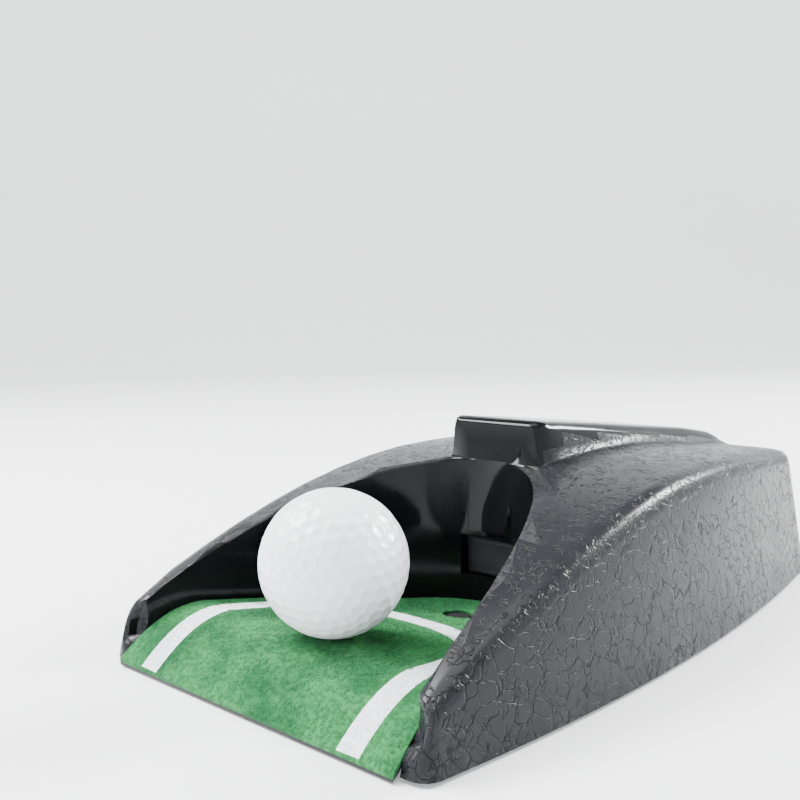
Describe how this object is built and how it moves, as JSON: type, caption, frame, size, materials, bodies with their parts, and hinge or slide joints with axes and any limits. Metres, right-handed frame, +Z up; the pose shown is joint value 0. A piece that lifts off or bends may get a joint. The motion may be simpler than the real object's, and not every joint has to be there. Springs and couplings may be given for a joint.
{
  "type": "automatic putting cup",
  "caption": "Floor-standing practice putting cup: a horseshoe housing round a felt ramp, with a ball, a trigger in the ramp and a kicker that sends the ball back.",
  "frame": {"origin": "on the ground, at the middle of the object's box in plan", "axes": "+Y from the mouth, where the ball rolls in, to the rear; +Z up; +X to the right of someone who looks into the mouth"},
  "size_m": [0.1456, 0.25, 0.0696],
  "materials": {
    "grained_black": "charcoal black, embossed with an irregular crackle; glossy inside the cup and on the ridge",
    "satin_black": "satin",
    "green_felt": "short green pile with a white line",
    "white_plastic": "satin",
    "ball_cover": "glossy white with dimples",
    "grey_nylon": "satin",
    "steel": "plain",
    "brass": "plain",
    "black_rubber": "matt",
    "cell_sleeve": "plain printed sleeve without text",
    "red_insulation": "satin",
    "black_insulation": "satin"
  },
  "bodies": {
    "base": {"upper_housing": "grained_black", "base_plate": "satin_black", "ramp_deck": "satin_black", "felt_mat": "green_felt", "kicker_pin": "steel", "kicker_hinge_left": "satin_black", "kicker_hinge_right": "satin_black", "kicker_spring": "steel", "drive_shaft": "steel", "gear_2_shaft": "steel", "gear_1_shaft": "steel", "gearbox_frame_left": "satin_black", "gearbox_frame_right": "satin_black", "gearbox_screw_left": "steel", "gearbox_screw_right": "steel", "motor": "steel", "trigger_switch": "grey_nylon", "trigger_spring": "steel", "cell_left": "cell_sleeve", "cell_right": "cell_sleeve", "contact_plate_front": "steel", "contact_positive": "steel", "contact_negative": "steel", "contact_spring_front": "steel", "contact_spring_rear": "steel", "power_switch_body": "steel", "park_switch": "grey_nylon", "power_wire_red": "red_insulation", "power_wire_black": "black_insulation", "foot_1": "black_rubber", "foot_2": "black_rubber", "foot_3": "black_rubber", "foot_4": "black_rubber", "housing_screw_1": "steel", "housing_screw_2": "steel", "housing_screw_3": "steel", "housing_screw_4": "steel"},
    "kicker": {"kicker_paddle": "satin_black"},
    "drive": {"drive_gear": "white_plastic"},
    "gear_2": {"compound_gear_2": "grey_nylon"},
    "gear_1": {"compound_gear_1": "grey_nylon"},
    "rotor": {"motor_pinion": "brass", "motor_shaft": "steel"},
    "trigger": {"trigger_button": "satin_black"},
    "switch_knob": {"power_switch_knob": "satin_black"},
    "door": {"battery_door": "satin_black"},
    "ball": {"golf_ball": "ball_cover"}
  },
  "joints": [
    {"name": "kicker_swing", "type": "hinge", "parent": "base", "child": "kicker", "pos_m": [0, -0.0138, 0.0258], "axis": [-1, 0, 0], "range_deg": [0, 35], "stiffness_Nm_per_rad": 0.004, "springref_deg": -11.46, "deforming": ["kicker_spring"]},
    {"name": "drive_gear_turn", "type": "hinge", "parent": "base", "child": "drive", "pos_m": [0, 0.01898, 0.027], "axis": [1, 0, 0], "range_deg": [0, 60.67]},
    {"name": "gear_2_turn", "type": "hinge", "parent": "base", "child": "gear_2", "pos_m": [0, 0.03696, 0.01823], "axis": [1, 0, 0], "range_deg": [-242.67, 0]},
    {"name": "gear_1_turn", "type": "hinge", "parent": "base", "child": "gear_1", "pos_m": [0, 0.05108, 0.02574], "axis": [1, 0, 0], "range_deg": [0, 728]},
    {"name": "rotor_turn", "type": "hinge", "parent": "base", "child": "rotor", "pos_m": [0, 0.06494, 0.01774], "axis": [1, 0, 0], "range_deg": [-2184, 0]},
    {"name": "trigger_press", "type": "slide", "parent": "base", "child": "trigger", "axis": [0, 0, -1], "range_m": [0, 0.0006], "stiffness_N_per_m": 60, "springref_m": -0.001, "deforming": ["trigger_spring"]},
    {"name": "power_switch_slide", "type": "slide", "parent": "base", "child": "switch_knob", "axis": [0, 1, 0], "range_m": [0, 0.006]},
    {"name": "battery_door_open", "type": "hinge", "parent": "base", "child": "door", "pos_m": [-0.0365, 0.0117, 0.0003], "axis": [-1, 0, 0], "range_deg": [0, 80]},
    {"name": "ball_roll", "type": "slide", "parent": "base", "child": "ball", "axis": [0, 0.9894, -0.1454], "range_m": [0, 0.042]}
  ],
  "couplings": [
    {"joint": "drive_gear_turn", "follows": "kicker_swing", "ratio": 1.7333},
    {"joint": "gear_2_turn", "follows": "kicker_swing", "ratio": -6.9333},
    {"joint": "gear_1_turn", "follows": "kicker_swing", "ratio": 20.8},
    {"joint": "rotor_turn", "follows": "kicker_swing", "ratio": -62.4}
  ]
}
